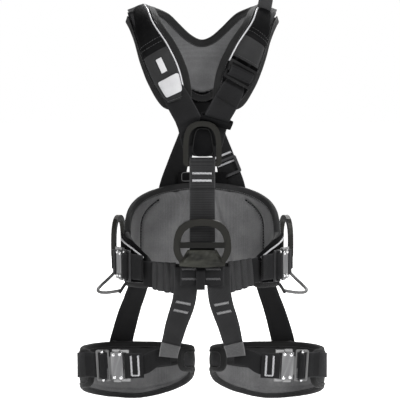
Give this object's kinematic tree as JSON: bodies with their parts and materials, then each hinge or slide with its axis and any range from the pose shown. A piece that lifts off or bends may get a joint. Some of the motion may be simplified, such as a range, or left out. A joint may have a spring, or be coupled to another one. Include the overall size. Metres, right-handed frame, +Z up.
{
  "type": "tree climbing saddle",
  "caption": "Full-body work harness: padded waist belt, two padded leg loops and a shoulder yoke joined by webbing, with swinging attachment rings and quick buckles.",
  "frame": {"origin": "middle of the underside, under the middle of the whole object", "axes": "+Z up, the wearer faces -Y, +X is at the wearer's left hand"},
  "size_m": [0.454, 0.3124, 0.7371],
  "materials": {
    "lining": "grey knit lining",
    "webbing": "woven black webbing",
    "webbing_gray": "woven charcoal webbing",
    "plate": "satin silver",
    "frame": "dark grey anodised",
    "ring": "dark olive-black anodised",
    "sleeve": "wrinkled dark olive sleeve",
    "loop": "grey sheathed cord"
  },
  "bodies": {
    "harness": {"belt_pad": "lining", "yoke_pad": "lining", "rear_belt_webbing": "webbing", "front_belt_webbing": "webbing_gray", "chest_strap": "webbing_gray", "shoulder_strap_left": "webbing", "shoulder_strap_right": "webbing", "back_strap_left": "webbing", "back_strap_right": "webbing", "dorsal_plate": "frame", "dorsal_ring_loop": "webbing", "side_ring_loop_left": "webbing", "side_ring_loop_right": "webbing", "ventral_sleeve": "sleeve", "shoulder_adjuster_frame": "frame", "back_adjuster": "frame", "leg_front_strap_left": "webbing_gray", "leg_front_strap_right": "webbing_gray", "leg_rear_strap_left": "webbing", "leg_rear_strap_right": "webbing", "waist_left_buckle_body": "plate", "waist_left_buckle_loop": "webbing", "waist_right_buckle_body": "plate", "waist_right_buckle_loop": "webbing"},
    "ventral_ring": {"ventral_ring": "ring"},
    "sternal_ring": {"sternal_ring": "ring"},
    "dorsal_ring": {"dorsal_ring": "ring"},
    "side_ring_left": {"side_ring_left": "ring"},
    "gear_loop_left": {"gear_loop_left": "loop"},
    "side_ring_right": {"side_ring_right": "ring"},
    "gear_loop_right": {"gear_loop_right": "loop"},
    "leg_loop_left": {"leg_pad_left": "lining", "leg_outer_strap_left": "webbing", "leg_left_buckle_body": "plate", "leg_left_front_panel": "webbing"},
    "leg_loop_right": {"leg_pad_right": "lining", "leg_outer_strap_right": "webbing", "leg_right_buckle_body": "plate", "leg_right_front_panel": "webbing"},
    "waist_left_tongue": {"waist_left_buckle_tongue": "frame", "waist_left_adjuster_loop": "webbing"},
    "waist_left_bar": {"waist_left_adjuster_bar": "frame"},
    "waist_left_latch_upper": {"waist_left_latch_upper": "plate"},
    "waist_left_latch_lower": {"waist_left_latch_lower": "plate"},
    "waist_right_tongue": {"waist_right_buckle_tongue": "frame", "waist_right_adjuster_loop": "webbing"},
    "waist_right_bar": {"waist_right_adjuster_bar": "frame"},
    "waist_right_latch_upper": {"waist_right_latch_upper": "plate"},
    "waist_right_latch_lower": {"waist_right_latch_lower": "plate"},
    "leg_left_tongue": {"leg_left_buckle_tongue": "frame", "leg_left_adjuster_loop": "webbing"},
    "leg_left_bar": {"leg_left_adjuster_bar": "frame"},
    "leg_left_latch_upper": {"leg_left_latch_upper": "plate"},
    "leg_left_latch_lower": {"leg_left_latch_lower": "plate"},
    "leg_right_tongue": {"leg_right_buckle_tongue": "frame", "leg_right_adjuster_loop": "webbing"},
    "leg_right_bar": {"leg_right_adjuster_bar": "frame"},
    "leg_right_latch_upper": {"leg_right_latch_upper": "plate"},
    "leg_right_latch_lower": {"leg_right_latch_lower": "plate"},
    "shoulder_bar": {"shoulder_adjuster_bar": "frame"}
  },
  "joints": [
    {"name": "ventral_ring_swing", "type": "hinge", "parent": "harness", "child": "ventral_ring", "pos_m": [0, -0.1474, 0.28019], "axis": [1, 0, 0], "range_deg": [0, 100]},
    {"name": "sternal_ring_swing", "type": "hinge", "parent": "harness", "child": "sternal_ring", "pos_m": [0, -0.1474, 0.45369], "axis": [1, 0, 0], "range_deg": [0, 90]},
    {"name": "dorsal_ring_swing", "type": "hinge", "parent": "harness", "child": "dorsal_ring", "pos_m": [0, 0.1481, 0.52219], "axis": [-1, 0, 0], "range_deg": [0, 100]},
    {"name": "side_ring_left_swing", "type": "hinge", "parent": "harness", "child": "side_ring_left", "pos_m": [0.153, 0.0326, 0.27419], "axis": [-0.2571, 0.9664, 0], "range_deg": [0, 100]},
    {"name": "gear_loop_left_swing", "type": "hinge", "parent": "harness", "child": "gear_loop_left", "pos_m": [0.15, -0.0279, 0.23569], "axis": [0.1391, 0.9043, 0.4035], "range_deg": [-30, 30]},
    {"name": "side_ring_right_swing", "type": "hinge", "parent": "harness", "child": "side_ring_right", "pos_m": [-0.153, 0.0326, 0.27419], "axis": [-0.2571, -0.9664, 0], "range_deg": [0, 100]},
    {"name": "gear_loop_right_swing", "type": "hinge", "parent": "harness", "child": "gear_loop_right", "pos_m": [-0.15, -0.0279, 0.23569], "axis": [0.1391, -0.9043, -0.4035], "range_deg": [-30, 30]},
    {"name": "leg_loop_left_swing", "type": "hinge", "parent": "harness", "child": "leg_loop_left", "pos_m": [0.118, -0.0114, 0.23619], "axis": [-1, 0, 0], "range_deg": [-8, 30], "deforming": ["leg_front_strap_left", "leg_rear_strap_left"]},
    {"name": "leg_loop_right_swing", "type": "hinge", "parent": "harness", "child": "leg_loop_right", "pos_m": [-0.118, -0.0114, 0.23619], "axis": [-1, 0, 0], "range_deg": [-8, 30], "deforming": ["leg_front_strap_right", "leg_rear_strap_right"]},
    {"name": "waist_left_tongue_slide", "type": "slide", "parent": "harness", "child": "waist_left_tongue", "axis": [-0.4326, -0.9016, 0], "range_m": [0, 0.016], "deforming": ["waist_left_adjuster_loop"]},
    {"name": "waist_left_bar_slide", "type": "slide", "parent": "waist_left_tongue", "child": "waist_left_bar", "axis": [-0.4326, -0.9016, 0], "range_m": [0, 0.003]},
    {"name": "waist_left_latch_upper_press", "type": "slide", "parent": "harness", "child": "waist_left_latch_upper", "axis": [0, 0, -1], "range_m": [0, 0.0013]},
    {"name": "waist_left_latch_lower_press", "type": "slide", "parent": "harness", "child": "waist_left_latch_lower", "axis": [0, 0, 1], "range_m": [0, 0.0013]},
    {"name": "waist_right_tongue_slide", "type": "slide", "parent": "harness", "child": "waist_right_tongue", "axis": [0.4326, -0.9016, 0], "range_m": [0, 0.016], "deforming": ["waist_right_adjuster_loop"]},
    {"name": "waist_right_bar_slide", "type": "slide", "parent": "waist_right_tongue", "child": "waist_right_bar", "axis": [0.4326, -0.9016, 0], "range_m": [0, 0.003]},
    {"name": "waist_right_latch_upper_press", "type": "slide", "parent": "harness", "child": "waist_right_latch_upper", "axis": [0, 0, -1], "range_m": [0, 0.0013]},
    {"name": "waist_right_latch_lower_press", "type": "slide", "parent": "harness", "child": "waist_right_latch_lower", "axis": [0, 0, 1], "range_m": [0, 0.0013]},
    {"name": "leg_left_tongue_slide", "type": "slide", "parent": "leg_loop_left", "child": "leg_left_tongue", "axis": [0.9556, 0.2893, -0.0567], "range_m": [0, 0.016], "deforming": ["leg_left_adjuster_loop"]},
    {"name": "leg_left_bar_slide", "type": "slide", "parent": "leg_left_tongue", "child": "leg_left_bar", "axis": [0.9556, 0.2893, -0.0567], "range_m": [0, 0.003]},
    {"name": "leg_left_latch_upper_press", "type": "slide", "parent": "leg_loop_left", "child": "leg_left_latch_upper", "axis": [-0.0543, -0.0164, -0.9984], "range_m": [0, 0.0013]},
    {"name": "leg_left_latch_lower_press", "type": "slide", "parent": "leg_loop_left", "child": "leg_left_latch_lower", "axis": [0.0543, 0.0164, 0.9984], "range_m": [0, 0.0013]},
    {"name": "leg_right_tongue_slide", "type": "slide", "parent": "leg_loop_right", "child": "leg_right_tongue", "axis": [-0.9556, 0.2893, -0.0567], "range_m": [0, 0.016], "deforming": ["leg_right_adjuster_loop"]},
    {"name": "leg_right_bar_slide", "type": "slide", "parent": "leg_right_tongue", "child": "leg_right_bar", "axis": [-0.9556, 0.2893, -0.0567], "range_m": [0, 0.003]},
    {"name": "leg_right_latch_upper_press", "type": "slide", "parent": "leg_loop_right", "child": "leg_right_latch_upper", "axis": [0.0543, -0.0164, -0.9984], "range_m": [0, 0.0013]},
    {"name": "leg_right_latch_lower_press", "type": "slide", "parent": "leg_loop_right", "child": "leg_right_latch_lower", "axis": [-0.0543, 0.0164, 0.9984], "range_m": [0, 0.0013]},
    {"name": "shoulder_bar_slide", "type": "slide", "parent": "harness", "child": "shoulder_bar", "axis": [0.4559, 0.1422, 0.8786], "range_m": [-0.006, 0.006]}
  ],
  "couplings": [
    {"joint": "waist_left_latch_lower_press", "follows": "waist_left_latch_upper_press", "ratio": 1},
    {"joint": "waist_right_latch_lower_press", "follows": "waist_right_latch_upper_press", "ratio": 1},
    {"joint": "leg_left_latch_lower_press", "follows": "leg_left_latch_upper_press", "ratio": 1},
    {"joint": "leg_right_latch_lower_press", "follows": "leg_right_latch_upper_press", "ratio": 1}
  ]
}
